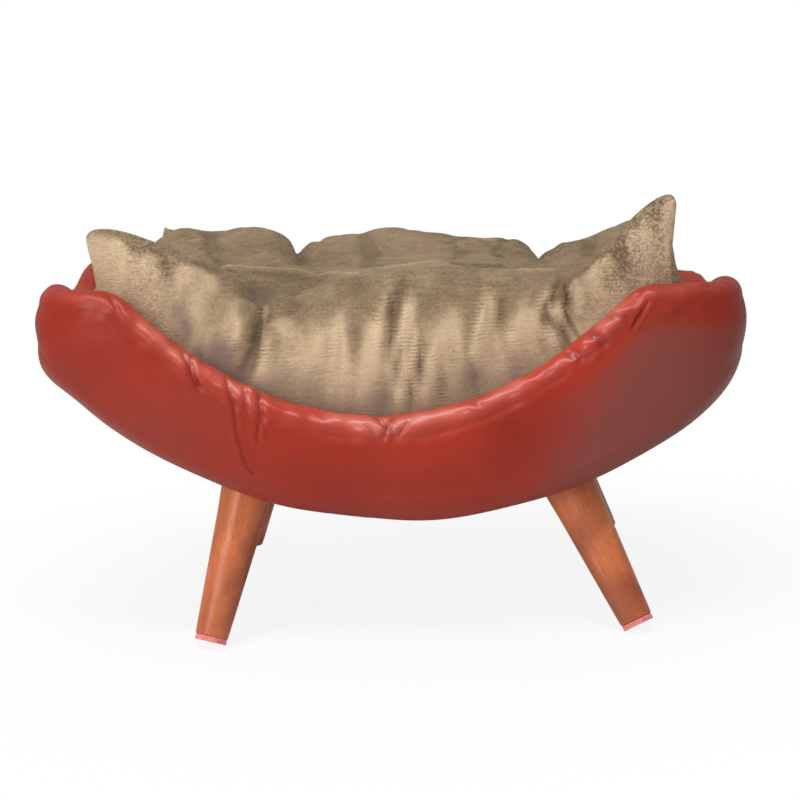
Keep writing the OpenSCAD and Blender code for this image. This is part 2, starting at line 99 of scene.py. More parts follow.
def rimHeight(x, y):
    # A parabola that levels off at the corners, lowest at the back right one, and dips across each end.
    rise = tub["rimRise"] * ((x - tub["rimMiddle"]) / tub["rimRun"]) ** 2
    q = y / (tub["halfDepth"] * tub["dipShare"])
    most = tub["rimRise"] - np.where(x > 0, tub["backRightDrop"] * smoothStep((q + 1) / 2), 0)
    blend = np.maximum(tub["rimBlend"] - np.abs(rise - most), 0) ** 2 / (4 * tub["rimBlend"])
    top = tub["underLow"] + tub["wallHeight"] + np.minimum(rise, most) - blend
    dip = tub["endDip"] * (1 - np.minimum(1, np.abs(q)) ** 2) ** 2
    return top - tub["offLevel"] * x / tub["halfLength"] - dip


def ripple(points, wavelength, seed, waves=9):
    # Smooth noise in space: a sum of sine waves in random directions, near -1 to 1.
    random = np.random.default_rng(seed)
    ways = random.normal(size=(waves, 3))
    ways /= np.linalg.norm(ways, axis=1)[:, None]
    turns = 2 * np.pi / (wavelength * random.uniform(0.7, 1.4, waves))
    shifts = random.uniform(0, 2 * np.pi, waves)
    return np.sin((points @ ways.T) * turns + shifts).sum(-1) / math.sqrt(waves)


def gridNormals(points):
    # The normal of a surface given as a grid: the second axis crossed with the first.
    along = np.gradient(points, axis=0)
    across = np.gradient(points, axis=1)
    normals = np.cross(across, along)
    return normals / np.maximum(np.linalg.norm(normals, axis=-1), 1e-9)[..., None]


def meshFrom(name, points, faces):
    # A smooth object from points in millimetres.
    mesh = bpy.data.meshes.new(name)
    mesh.from_pydata((points * mm).tolist(), [], faces.tolist())
    mesh.polygons.foreach_set("use_smooth", np.full(len(mesh.polygons), True))
    mesh.update()
    piece = bpy.data.objects.new(name, mesh)
    scene.collection.objects.link(piece)
    return piece


def gridFaces(rows, columns):
    # Quads of a grid whose points are numbered row by row.
    i, j = np.meshgrid(np.arange(rows - 1), np.arange(columns - 1), indexing="ij")
    corner = i * columns + j
    return np.stack([corner, corner + 1, corner + columns + 1, corner + columns], -1).reshape(-1, 4)


def bodyOf(node):
    for body, nodes in frame["record"]["behaviour"]["bodies"].items():
        if node in nodes:
            return body


class Nodes:
    # A short way to add shader nodes with their values and links.
    def __init__(self, tree):
        self.tree = tree

    def add(self, kind, values=None, links=None, **settings):
        node = self.tree.nodes.new("ShaderNode" + kind)
        for key, value in settings.items():
            setattr(node, key, value)
        for key, value in (values or {}).items():
            node.inputs[key].default_value = value
        self.join(node, links or {})
        return node

    def join(self, node, links):
        for key, socket in links.items():
            self.tree.links.new(socket, node.inputs[key])

    def attribute(self, name):
        return self.add("Attribute", attribute_name=name).outputs["Fac"]

    def place(self):
        return self.add("TexCoord").outputs["Object"]

    def noise(self, vector, scale, detail, roughness=0.5, distortion=0.0):
        values = {"Scale": scale, "Detail": detail, "Roughness": roughness, "Distortion": distortion}
        return self.add("TexNoise", values, {"Vector": vector}).outputs["Fac"]

    def remap(self, value, start, end, low=0, high=1):
        # The value's span from start to end becomes the one from low to high.
        values = {"From Min": start, "From Max": end, "To Min": low, "To Max": high}
        return self.add("MapRange", values, {"Value": value}).outputs["Result"]

    def math(self, operation, *terms):
        # Each term is a number or another node's output.
        node = self.add("Math", operation=operation)
        for index, term in enumerate(terms):
            if isinstance(term, (int, float)):
                node.inputs[index].default_value = term
            else:
                self.tree.links.new(term, node.inputs[index])
        return node.outputs[0]

    def mix(self, share, first, second):
        # Two colours; the second may be a constant.
        if isinstance(second, tuple):
            node = self.add("Mix", {"B": second + (1,)}, {"Factor": share, "A": first}, data_type="RGBA")
        else:
            node = self.add("Mix", None, {"Factor": share, "A": first, "B": second}, data_type="RGBA")
        return node.outputs["Result"]

    def ramp(self, share, stops):
        node = self.add("ValToRGB", links={"Fac": share})
        band = node.color_ramp
        while len(band.elements) < len(stops):
            band.elements.new(0.5)
        for element, (place, colour) in zip(band.elements, stops):
            element.position = place
            element.color = colour + (1,)
        return node.outputs["Color"]

    def bump(self, height, distance, strength, under=None):
        links = {"Height": height}
        if under:
            links["Normal"] = under
        return self.add("Bump", {"Distance": distance, "Strength": strength}, links).outputs["Normal"]

    def group(self, group, values, links):
        return self.add("Group", values, links, node_tree=group)


print("camera, floor and lights")
# Turned, tilted and rolled in degrees and placed in millimetres, as is the lens.
cameraPlace = {"turn": 1.47, "down": 9.99, "roll": 2.43, "x": 46.5, "y": -1705.4, "z": 475.7,
               "lens": 84.61, "sensor": 36}


def placeCamera():
    turn, down, roll = (math.radians(cameraPlace[k]) for k in ("turn", "down", "roll"))
    ahead = Vector((-math.sin(turn) * math.cos(down), math.cos(turn) * math.cos(down), -math.sin(down)))
    right = Vector((math.cos(turn), math.sin(turn), 0))
    up = right.cross(ahead)
    rightRolled = right * math.cos(roll) - up * math.sin(roll)
    upRolled = right * math.sin(roll) + up * math.cos(roll)
    data = bpy.data.cameras.new("camera")
    data.lens = cameraPlace["lens"]
    data.sensor_width = cameraPlace["sensor"]
    data.sensor_fit = "HORIZONTAL"
    camera = bpy.data.objects.new("camera", data)
    scene.collection.objects.link(camera)
    matrix = Matrix((rightRolled, upRolled, -ahead)).transposed().to_4x4()
    matrix.translation = Vector((cameraPlace["x"], cameraPlace["y"], cameraPlace["z"])) * mm
    camera.matrix_world = matrix
    scene.camera = camera


placeCamera()
scene.view_settings.view_transform = "Standard"

# In metres. The floor keeps its shadow up to near, and is plain white to the camera past far.
stage = {"floorSize": 12, "floorWhite": 0.86, "keep": 0.88, "near": 0.22, "far": 0.60, "worldLight": 0.36}


def emptyTree(owner):
    owner.use_nodes = True
    owner.node_tree.nodes.clear()
    return Nodes(owner.node_tree)


def cameraRay(nodes):
    return nodes.add("LightPath").outputs["Is Camera Ray"]


def makeFloor():
    size = stage["floorSize"]
    corners = [(-size, -size, 0), (size, -size, 0), (size, size, 0), (-size, size, 0)]
    mesh = bpy.data.meshes.new("studioFloor")
    mesh.from_pydata(corners, [], [(0, 1, 2, 3)])
    floor = bpy.data.objects.new("studioFloor", mesh)
    scene.collection.objects.link(floor)
    material = bpy.data.materials.new("studioFloor")
    n = emptyTree(material)
    reach = n.add("VectorMath", None, {0: n.place()}, operation="LENGTH")
    whiter = n.add("MapRange", {"From Min": stage["near"], "From Max": stage["far"],
                                "To Min": stage["keep"]},
                   {"Value": reach.outputs["Value"]}, interpolation_type="SMOOTHSTEP")
    diffuse = n.add("BsdfDiffuse", {"Color": (stage["floorWhite"],) * 3 + (1,)})
    glow = n.add("Emission", {"Color": (1, 1, 1, 1), "Strength": 1})
    mix = n.add("MixShader", None, {"Fac": n.math("MULTIPLY", cameraRay(n), whiter.outputs["Result"]),
                                    1: diffuse.outputs[0], 2: glow.outputs[0]})
    n.add("OutputMaterial", None, {"Surface": mix.outputs[0]})
    mesh.materials.append(material)


def makeWorld():
    world = bpy.data.worlds.new("studio")
    scene.world = world
    n = emptyTree(world)
    level = n.remap(cameraRay(n), 0, 1, stage["worldLight"], 1)
    back = n.add("Background", {"Color": (1, 1, 1, 1)}, {"Strength": level})
    n.add("OutputWorld", None, {"Surface": back.outputs[0]})


makeFloor()
makeWorld()

# Places, aims and sizes are in metres. The back lamp isn't mirrored in the leather.
lamps = {
    "overhead": {"place": (-0.3, -0.6, 1.6), "aim": (0, 0, 0.2), "size": (1.7, 0.30),
                 "power": 17, "mirrored": True},
    "front": {"place": (-1.5, -2.1, 1.1), "aim": (0, 0, 0.2), "size": (1.0, 0.9),
              "power": 20, "mirrored": True},
    "back": {"place": (0.4, 1.7, 1.4), "aim": (0, 0, 0.25), "size": (1.4, 0.8),
             "power": 5, "mirrored": False},
}


def makeLamps():
    for name, lamp in lamps.items():
        data = bpy.data.lights.new(name, "AREA")
        data.shape = "RECTANGLE"
        data.size, data.size_y = lamp["size"]
        data.energy = lamp["power"]
        light = bpy.data.objects.new(name, data)
        scene.collection.objects.link(light)
        light.visible_glossy = lamp["mirrored"]
        place, aim = Vector(lamp["place"]), Vector(lamp["aim"])
        light.location = place
        light.rotation_euler = (aim - place).to_track_quat("-Z", "Y").to_euler()


makeLamps()

print("materials")


def newMaterial(name, constants):
    material = bpy.data.materials.new(name)
    material.use_nodes = True
    shader = material.node_tree.nodes["Principled BSDF"]
    for key, value in constants.items():
        shader.inputs[key].default_value = value
    return material, Nodes(material.node_tree), shader


def newGroup(name, inputs, outputs):
    group = bpy.data.node_groups.new(name, "ShaderNodeTree")
    for socket, kind in inputs:
        group.interface.new_socket(socket, in_out="INPUT", socket_type="NodeSocket" + kind)
    for socket, kind in outputs:
        group.interface.new_socket(socket, in_out="OUTPUT", socket_type="NodeSocket" + kind)
    given = group.nodes.new("NodeGroupInput").outputs
    return group, Nodes(group), given, group.nodes.new("NodeGroupOutput")


def grainGroup():
    # Hide grain: small pebbles over broad soft creases, as a normal and a mask.
    group, n, given, out = newGroup(
        "hideGrain", [("Vector", "Vector"), ("Size", "Float"), ("Depth", "Float")],
        [("Normal", "Vector"), ("Mask", "Float")])
    pebbles = n.add("TexVoronoi", {"Randomness": 1.0}, {"Vector": given["Vector"], "Scale": given["Size"]},
                    feature="SMOOTH_F1")
    creased = n.noise(given["Vector"], 60.0, 5.0, 0.62, 0.7)
    fine = n.add("Bump", {"Distance": 0.0004},
                 {"Strength": given["Depth"], "Height": pebbles.outputs["Distance"]})
    broad = n.bump(creased, 0.0022, 0.35, fine.outputs["Normal"])
    n.join(out, {"Normal": broad, "Mask": creased})
    return group


hideGrain = grainGroup()

redLeather = {
    "bright": (0.37, 0.030, 0.013), "deep": (0.29, 0.022, 0.010), "creaseShade": (0.16, 0.009, 0.005),
    "rolled": (0.47, 0.036, 0.014), "faceShadeAndReflection": (0.245, 0.058, 0.045), "paintedHighlight": (0.62, 0.15, 0.10),
    "pebble": 700.0, "pebbleDepth": 0.10, "roughness": (0.36, 0.52), "coat": (0.12, 0.90),
    "coatRoughness": 0.33,
}


def leatherMaterial():
    # Each tone is mixed in by the attribute of its name: painted shade with a painted floor reflection on
    # the face,
    #     # painted light over the roll, a painted highlight along it and painted shade in the creases. The
    #     roll is glossier than the faces.
    material, n, shader = newMaterial("redLeather", {
        "Coat Roughness": redLeather["coatRoughness"], "Specular IOR Level": 0.18, "IOR": 1.45})
    place = n.place()
    grain = n.group(hideGrain, {"Size": redLeather["pebble"], "Depth": redLeather["pebbleDepth"]},
                    {"Vector": place})
    blotch = n.noise(place, 9.0, 3.0, 0.55)
    colour = n.ramp(blotch, [(0.3, redLeather["deep"]), (0.62, redLeather["bright"])])
    for name in ("faceShadeAndReflection", "rolled", "paintedHighlight", "creaseShade"):
        colour = n.mix(n.attribute(name), colour, redLeather[name])
    n.join(shader, {
        "Base Color": colour,
        "Coat Weight": n.remap(n.attribute("rolled"), 0, 1, *redLeather["coat"]),
        "Roughness": n.remap(grain.outputs["Mask"], 0.3, 0.7, *redLeather["roughness"]),
        "Normal": grain.outputs["Normal"]})
    return material


def woodGroup():
    # Long grain along the local Z of the vector: stretched noise for figure, thin dark pores.
    group, n, given, out = newGroup(
        "turnedWood", [("Vector", "Vector"), ("Light", "Color"), ("Middle", "Color"), ("Dark", "Color")],
        [("Color", "Color"), ("Normal", "Vector"), ("Mask", "Float")])
    long = n.add("Mapping", {"Scale": (1.0, 1.0, 0.10)}, {"Vector": given["Vector"]}).outputs["Vector"]
    figure = n.noise(long, 70.0, 6.0, 0.6, 0.9)
    pores = n.noise(long, 900.0, 2.0)
    cloud = n.noise(given["Vector"], 16.0, 3.0)
    figured = n.mix(n.remap(figure, 0.35, 0.66), given["Middle"], given["Light"])
    clouded = n.mix(n.remap(cloud, 0.58, 0.38, 0, 0.75), figured, given["Dark"])
    pored = n.mix(n.remap(pores, 0.60, 0.72, 0, 0.6), clouded, given["Dark"])
    n.join(out, {"Color": pored, "Normal": n.bump(pores, 0.0003, 0.25), "Mask": figure})
    return group


turnedWood = woodGroup()


def woodMaterial(name, colours, turn):
    material, n, shader = newMaterial(name, {
        "Coat Weight": colours["coat"], "Coat Roughness": 0.25, "Specular IOR Level": 0.45})
    place = n.add("Mapping", {"Rotation": turn}, {"Vector": n.place()})
    wood = n.group(turnedWood, {"Light": colours["light"] + (1,), "Middle": colours["mid"] + (1,),
                                "Dark": colours["dark"] + (1,)}, {"Vector": place.outputs["Vector"]})
    n.join(shader, {
        "Base Color": wood.outputs["Color"],
        "Roughness": n.remap(wood.outputs["Mask"], 0, 1, *colours["roughness"]),
        "Normal": wood.outputs["Normal"]})
    return material


velvet = {
    "light": (0.64, 0.47, 0.30), "mid": (0.35, 0.25, 0.15), "dark": (0.15, 0.105, 0.06),
    "duskyShade": (0.235, 0.155, 0.13), "dash": 170.0, "crackle": 175.0, "hatch": 98.0, "patch": 16.0,
}


def crushGroup():
    # Crushed pile: short dashes that run level, a crackle where the cloth is bruised, hatching of
    # level lines that waver, and soft patches where it was brushed one way or the other.
    group, n, given, out = newGroup(
        "crushedPile", [("Vector", "Vector"), ("Crackle", "Float"), ("Hatch", "Float")],
        [("Mask", "Float"), ("Normal", "Vector"), ("Patch", "Float")])
    vector = given["Vector"]
    level = n.add("Mapping", {"Scale": (0.42, 0.42, 1.9)}, {"Vector": vector}).outputs["Vector"]
    dashes = n.math("SUBTRACT", n.noise(level, velvet["dash"], 3.0, 0.55, 0.6), 0.5)
    amount = n.remap(n.noise(vector, 21.0, 3.0, 0.6, 0.8), 0.42, 0.66, 0.14, 0.7)
    dashed = n.math("MULTIPLY", dashes, amount)
    veins = n.remap(n.noise(vector, velvet["crackle"], 2.0, 0.6, 2.0), 0.42, 0.56, -0.24, 0.16)
    bruised = n.math("MULTIPLY", veins, given["Crackle"])
    wave = {"Scale": velvet["hatch"], "Distortion": 3.2, "Detail": 2.0, "Detail Scale": 1.6}
    lines = n.add("TexWave", wave, {"Vector": vector}, bands_direction="Z").outputs["Fac"]
    broken = n.remap(n.noise(vector, 115.0, 1.0), 0.40, 0.58)
    short = n.math("MULTIPLY", n.remap(lines, 0, 1, -0.26, 0.26), broken)
    hatched = n.math("MULTIPLY", short, given["Hatch"])
    tufts = n.remap(n.noise(vector, 420.0, 3.0, 0.65), 0, 1, -0.22, 0.22)
    mask = n.math("ADD", n.math("ADD", n.math("ADD", dashed, tufts), bruised), hatched)
    patch = n.noise(vector, velvet["patch"], 4.0, 0.6, 0.5)
    fuzz = n.noise(vector, 1100.0, 2.0, 0.6)
    relief = n.bump(fuzz, 0.0005, 0.5, n.bump(mask, 0.0022, 0.55))
    n.join(out, {"Mask": mask, "Normal": relief, "Patch": patch})
    return group


crushedPile = crushGroup()


def velvetMaterial():
    material, n, shader = newMaterial("crushedVelvet", {
        "Sheen Weight": 0.16, "Sheen Roughness": 0.45, "Sheen Tint": (1, 0.86, 0.68, 1),
        "Specular IOR Level": 0.15})
    links = {"Vector": n.place(), "Crackle": n.attribute("crackle"), "Hatch": n.attribute("hatch")}
    crush = n.group(crushedPile, None, links).outputs
    # The pile attribute paints light and shade: lighter down the sides, darker on top and in the recesses
    # and creases.
    shadedAndCrushed = n.math("MULTIPLY_ADD", n.attribute("pileToneAndShading"), 0.75, crush["Mask"])
    patched = n.math("MULTIPLY_ADD", crush["Patch"], 0.30, shadedAndCrushed)
    colour = n.ramp(patched, [(0.09, velvet["dark"]), (0.42, velvet["mid"]), (0.85, velvet["light"])])
    # Painted shade just over the rim at the front, in a dusky colour.
    shadeOverRim = n.math("MULTIPLY", n.attribute("shadeOverRim"), 0.85)
    n.join(shader, {
        "Base Color": n.mix(shadeOverRim, colour, velvet["duskyShade"]),
        "Roughness": n.remap(crush["Patch"], 0, 1, 0.72, 0.95),
        "Normal": crush["Normal"]})
    return material


def plainMaterial(name, low, high, scale, relief, constants):
    # Two tones of noise with a bump of the same noise, for felt, foam, cloth and steel.
    material, n, shader = newMaterial(name, constants)
    noise = n.noise(n.place(), scale, 4.0, 0.65)
    n.join(shader, {"Base Color": n.ramp(noise, [(0.32, low), (0.68, high)]),
                    "Normal": n.bump(noise, relief, 0.6)})
    return material


leather = leatherMaterial()
taupeVelvet = velvetMaterial()
plywood = {"light": (0.66, 0.46, 0.27), "mid": (0.56, 0.37, 0.20), "dark": (0.36, 0.22, 0.11),
           "roughness": (0.52, 0.72), "coat": 0.0}
legWood = {"light": (0.78, 0.225, 0.075), "mid": (0.58, 0.145, 0.048), "dark": (0.30, 0.065, 0.026),
           "roughness": (0.30, 0.50), "coat": 0.12}
boardWood = woodMaterial("birchPly", plywood, (0, math.pi / 2, 0))
foam = plainMaterial("paddingFoam", (0.72, 0.66, 0.44), (0.84, 0.80, 0.62), 700, 0.0006,
                     {"Roughness": 0.95, "Sheen Weight": 0.2})
steel = plainMaterial("zincSteel", (0.52, 0.54, 0.57), (0.66, 0.67, 0.68), 260, 0.0001,
                      {"Roughness": 0.32, "Metallic": 1.0})
felt = plainMaterial("pinkFelt", (0.75, 0.10, 0.10), (0.86, 0.36, 0.34), 420, 0.0012,
                     {"Roughness": 0.95, "Sheen Weight": 0.4})
blackCloth = plainMaterial("dustCloth", (0.012, 0.012, 0.012), (0.035, 0.035, 0.036), 1400, 0.0004,
                           {"Roughness": 0.9})

# Which side of the tub each leg is on, and its lean in degrees.
legPlaces = {"front_left_leg": (-1, -1), "front_right_leg": (1, -1),
             "back_left_leg": (-1, 1), "back_right_leg": (1, 1)}
legLean = {-1: 15.7, 1: 24.8, "side": 19.4}


def paintNode(name, material):
    for slot in frame["nodes"][name].material_slots:
        slot.material = material


def paintLegs():
    # The grain of each leg runs along it.
    for name, (sideX, sideY) in legPlaces.items():
        across, along = math.radians(legLean["side"]), math.radians(legLean[sideX])
        axis = Vector((-sideX * math.tan(along), -sideY * math.tan(across), 1))
        turn = axis.rotation_difference(Vector((0, 0, 1))).to_euler()
        paintNode(name, woodMaterial(name + "_wood", legWood, turn))


def paintTheRest():
    # Nodes are painted by the last word of their names.
    paints = {"board": boardWood, "rail": boardWood, "padding": foam, "felt": felt, "screws": steel,
              "nuts": steel, "bolts": steel, "staples": steel, "cloth": blackCloth, "lining": leather}
    for row in frame["record"]["subparts"]:
        kind = row["node"].split("_")[-1]
        if kind in paints:
            paintNode(row["node"], paints[kind])


paintLegs()
paintTheRest()

print("leather covers")
cover = {
    "step": 2.2, "fineStep": 1.25, "insideRows": 23, "crestRows": 16,
    "roll": 15, "turnIn": 3.0, "lift": 1.0, "least": -0.7, "belly": 3.5,
    "nip": 1.3, "unevenRim": 0.9, "unevenFace": 0.7, "highlightWander": 3,
    "shadeLowAmount": 0.45, "shadeRightAmount": 0.9, "highlightShare": 0.82,
    # Where something fades in, out along X or down from the crest of the roll.
    "ends": (235, 275), "middle": (250, 205), "calm": (165, 255), "outside": (-8, 6), "rolled": (34, 12),
    "lowShadeSpan": (46, 136), "rightShadeSpan": (95, 215), "underRoll": (28, 54),
    # The middles and widths of bands that run along the roll.
    "rimBand": (8, 20), "nipBand": (25, 3.5), "highlightBand": (12, 5.5),
    # A fold's straight stretch and soft ends as shares of its length, and its ridges' place and
    # width as shares of its own width.
    "foldStretch": 0.34, "foldEnds": 0.02, "ridge": (2.4, 1.6),
    # Wavelengths of the unevenness.
    "waves": {"face": 130, "rim": 30, "fine": 14, "tight": 60, "faceShadeAndReflection": 90, "wander": 50, "paintedHighlight": 75},
}

# Folds of the leather: where each starts and ends, along the rim from the middle of the front and
# down from the crest of the roll, with its width and depth. The rim is gathered in a few places.
creases = [
    (-236, 3, -221, 15, 2.0, 1.5), (-172, 6, -156, 31, 3.0, 2.4), (-165, 4, -162, 20, 2.0, 1.6),
    (-136, 6, -128, 30, 2.4, 1.8), (-121, 8, -119, 26, 1.8, 1.2), (-109, 4, -107, 32, 2.4, 1.8),
    (-129, 28, -127, 56, 1.6, 1.2), (-127, 50, -122, 76, 1.6, 1.5), (-122, 73, -116, 79, 1.6, 1.2),
    (-109, 30, -111, 50, 1.4, 1.0),
    (-15, 5, 3, 24, 2.2, 1.9), (4, 5, -9, 25, 2.0, 1.6), (5, 22, 15, 11, 1.6, 1.4),
    (-24, 14, -14, 20, 1.6, 1.0),
    (66, 8, 76, 16, 2.2, 1.0), (146, 6, 158, 25, 2.6, 2.0), (164, 4, 178, 30, 3.0, 2.6),
    (180, 8, 197, 22, 2.2, 1.8), (198, 33, 214, 18, 1.9, 2.0), (205, 10, 214, 4, 2.0, 1.2),
    (262, 6, 274, 10, 2.0, 1.0),
    (-640, 4, -628, 22, 2.4, 1.8), (-700, 6, -706, 26, 2.2, 1.5), (-800, 5, -790, 24, 2.6, 2.0),
    (560, 6, 572, 25, 2.4, 1.8), (700, 4, 690, 24, 2.2, 1.6), (880, 6, 868, 26, 2.6, 2.0),
    (400, 6, 407, 22, 2.2, 1.4), (-420, 6, -428, 22, 2.2, 1.4),
]
# Soft bulges of the roll between the gathers, and of the padding: the same two distances, the
# reach along and across, and the rise.
swells = [
    (-197, 12, 24, 9, 1.3), (-145, 22, 13, 9, 1.8), (-85, 17, 17, 8, 1.4), (-42, 13, 24, 8, 1.2),
    (30, 12, 20, 8, 1.1), (60, 13, 20, 8, 1.1), (110, 12, 26, 9, 1.5), (186, 18, 14, 9, 2.0),
    (222, 12, 22, 10, 1.2),
    (-308, 74, 40, 24, 7.0), (-316, 36, 34, 12, 0.8),
    (-720, 14, 40, 9, 1.6), (620, 14, 40, 9, 1.6), (800, 14, 30, 9, 1.4),
]


def sectionRows():
    # The skin's section: up the inside, over the roll, down the face, round the lower edge to the
    # tuck. Each row is a place across the wall, a share of its height and a rise.
    wall, edge, roll = tub["wall"], tub["edgeRadius"], cover["roll"]
    inside = [(-wall, v, tub["foot"] * (1 - v) - roll * v)
              for v in np.linspace(0, 1, cover["insideRows"] + 1)[:-1]]
    over = [(-roll + roll * math.cos(a), 1, -roll + roll * math.sin(a))
            for a in np.linspace(math.pi, 0, 2 * cover["crestRows"] + 1)]
    face = [(0, 1 - v, -roll * (1 - v) + edge * v) for v in np.linspace(0, 1, 68)[1:-1] ** 1.3]
    under = [(-edge + edge * math.cos(a), 0, edge + edge * math.sin(a))
             for a in np.linspace(0, -math.pi / 2, 20)]
    hem = [(-edge - tub["tuck"] * v, 0, 0) for v in (0.33, 0.66, 1)]
    return np.array(inside + over + face + under + hem)


crestRow = cover["insideRows"] + cover["crestRows"]


def coverGrid(first, last, step):
    # The outer skin between two angles: the section carried round the plan.
    span = np.radians(np.linspace(first, last, 2000))
    x, y = planPoint(span, 0)
    length = np.concatenate([[0], np.cumsum(np.hypot(np.diff(x), np.diff(y)))])
    count = int(length[-1] / step)
    angles = np.interp(np.linspace(0, length[-1], count), length, span)[:, None]
    rows = sectionRows()
    place = planPoint(angles, rows[None, :, 0])
    faceX, faceY = planPoint(angles, np.zeros(len(rows))[None])
    low = underHeight(place[0])
    high = rimHeight(faceX, faceY)
    z = low + rows[None, :, 1] * (high - low) + rows[None, :, 2]
    return np.stack([place[0], place[1], z], -1), angles, rows


def reachAlong(angles):
    # Distance round the plan from the middle of the front, growing to the right.
    fine = np.radians(np.linspace(-90, 270, 7201))
    x, y = planPoint(fine, 0)
    length = np.concatenate([[0], np.cumsum(np.hypot(np.diff(x), np.diff(y)))])
    wrapped = (angles + math.pi / 2) % (2 * math.pi) - math.pi / 2
    return np.interp(wrapped, fine, length), length[-1]


def reachAcross(points):
    # Distance down the outside from the crest of the roll, below zero on the inside.
    steps = np.linalg.norm(np.diff(points, axis=1), axis=-1)
    across = np.concatenate([np.zeros((len(points), 1)), np.cumsum(steps, axis=1)], axis=1)
    return across - across[:, crestRow:crestRow + 1]


def foldRelief(along, around, across):
    # The folds as grooves between two ridges, and how deep in a groove each place lies, which is painted
    # as shade.
    height = np.zeros(across.shape)
    depth = np.zeros(across.shape)
    out, wide = cover["ridge"]
    for startAlong, startDown, endAlong, endDown, width, deep in creases:
        gap = (along - startAlong + around / 2) % around - around / 2
        da, dw = endAlong - startAlong, endDown - startDown
        t = (gap * da + (across - startDown) * dw) / (da * da + dw * dw)
        side = (gap * dw - (across - startDown) * da) / math.hypot(da, dw)
        strength = np.exp(-np.maximum(np.abs(t - 0.5) - cover["foldStretch"], 0) ** 2 / cover["foldEnds"])
        groove = bell(side, 0, width)
        ridge = bell(np.abs(side), out * width, wide * width)
        height += 0.8 * deep * strength * (0.5 * ridge - groove)
        depth = np.maximum(depth, 0.5 * strength * groove * min(1, deep / 2.4))
    for midAlong, midDown, reach, tall, rise in swells:
        gap = (along - midAlong + around / 2) % around - around / 2
        height += rise * bell(gap, 0, reach) * bell(across, midDown, tall)
    return height, depth


def coverRelief(points, angles, rows):
    # Height of the leather over the plain skin, and the shares of its tones.
    along, around = reachAlong(angles)
    across = reachAcross(points)
    x = points[..., 0]
    waves = cover["waves"]
    nearRim = bell(across, *cover["rimBand"])
    outside = fade(across, *cover["outside"])
    atEnds = fade(np.abs(x), *cover["ends"])
    face = np.where(np.arange(len(rows)) > crestRow, np.sin(np.pi * np.clip(rows[:, 1], 0, 1)), 0)
    height = cover["lift"] * outside * (1 - atEnds) + cover["belly"] * face[None]
    height += cover["unevenFace"] * ripple(points, waves["face"], 3) * outside * (1 - 0.5 * nearRim)
    uneven = ripple(points, waves["rim"], 5) + 0.6 * ripple(points, waves["fine"], 6)
    height += cover["unevenRim"] * uneven * nearRim * outside * (1 - 0.55 * atEnds)
    tight = 0.5 + 0.5 * np.clip(0.4 + 1.4 * ripple(points, waves["tight"], 8), 0, 1)
    tight *= fade(np.abs(x), *cover["middle"])
    height -= cover["nip"] * tight * bell(across, *cover["nipBand"])
    folded, depth = foldRelief(along, around, across)
    # Painted shade, tinted by a painted reflection of the floor, low down and towards the right, and
    # painted light that is more red over the roll.
    right = fade(x, *cover["rightShadeSpan"]) * fade(across, *cover["underRoll"])
    faceShadeAndReflection = cover["shadeLowAmount"] * fade(across, *cover["lowShadeSpan"]) + cover["shadeRightAmount"] * right
    faceShadeAndReflection += 0.12 * ripple(points, waves["faceShadeAndReflection"], 21)
    calm = fade(np.abs(x), *cover["calm"])
    # Painted light over the roll, where the top light falls on it; the same share makes the roll glossier.
    rolled = fade(across, *cover["rolled"]) * outside * (1 - 0.9 * calm)
    # A painted highlight, paler, in a broken line along the outer side of the roll.
    wander = cover["highlightWander"] * ripple(points, waves["wander"], 22)
    band = bell(across - wander, *cover["highlightBand"])
    paintedHighlight = cover["highlightShare"] * band * (1 - depth) * (1 - 0.75 * calm)
    paintedHighlight *= np.clip(0.45 + 0.9 * ripple(points, waves["paintedHighlight"], 23), 0, 1)
    tones = {"creaseShade": depth, "faceShadeAndReflection": np.clip(faceShadeAndReflection, 0, 1), "rolled": rolled, "paintedHighlight": paintedHighlight}
    return np.maximum(height + folded, cover["least"]), tones


def turnIn(skin, normals, tones):
    # The skin with both its seams turned in, as a sewn edge is.
    shares = (1, 0.55, 0.2)
    for end in (0, -1):
        spread = skin[end] - skin[1 if end == 0 else -2]
        spread /= np.linalg.norm(spread, axis=-1, keepdims=True)
        lips = [skin[end] - normals[end] * cover["turnIn"] * share ** 2 + spread * (0.5 - 0.5 * share)
                for share in shares]
        skin = np.concatenate([lips, skin] if end == 0 else [skin, lips[::-1]])
        for tone, values in tones.items():
            lip = values[[end] * len(lips)]
            # The turned-in lip is painted in crease shade.
            if tone == "creaseShade":
                lip = np.full(lip.shape, 0.6)
            tones[tone] = np.concatenate([lip, values] if end == 0 else [values, lip])
    return skin


def setAttributes(mesh, attributes):
    for name, values in attributes.items():
        mesh.attributes.new(name, "FLOAT", "POINT").data.foreach_set("value", values.ravel())


def makeCover(name, node, first, last, step):
    points, angles, rows = coverGrid(first, last, step)
    normals = gridNormals(points)
    height, tones = coverRelief(points, angles, rows)
    skin = turnIn(points + normals * height[..., None], normals, tones)
    piece = meshFrom(name, skin.reshape(-1, 3), gridFaces(*skin.shape[:2]))
    setAttributes(piece.data, tones)
    piece.data.materials.append(leather)
    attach(piece, bodyOf(node))
    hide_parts(node)
    print(name, len(piece.data.polygons), "faces")


def gathered(angle):
    # The seams are drawn towards the corners.
    return angle + tub["gather"] * math.sin(math.radians(4 * angle))


seam = tub["seamAngle"]
for name, node, first, last, step in (
        ("frontLeather", "front_cover", 180 + seam, 360 - seam, cover["fineStep"]),
        ("backLeather", "back_cover", seam, 180 - seam, cover["step"]),
        ("leftLeather", "left_end_cover", 180 - seam, 180 + seam, cover["step"]),
        ("rightLeather", "right_end_cover", -seam, seam, cover["step"])):
    makeCover(name, node, gathered(first), gathered(last), step)

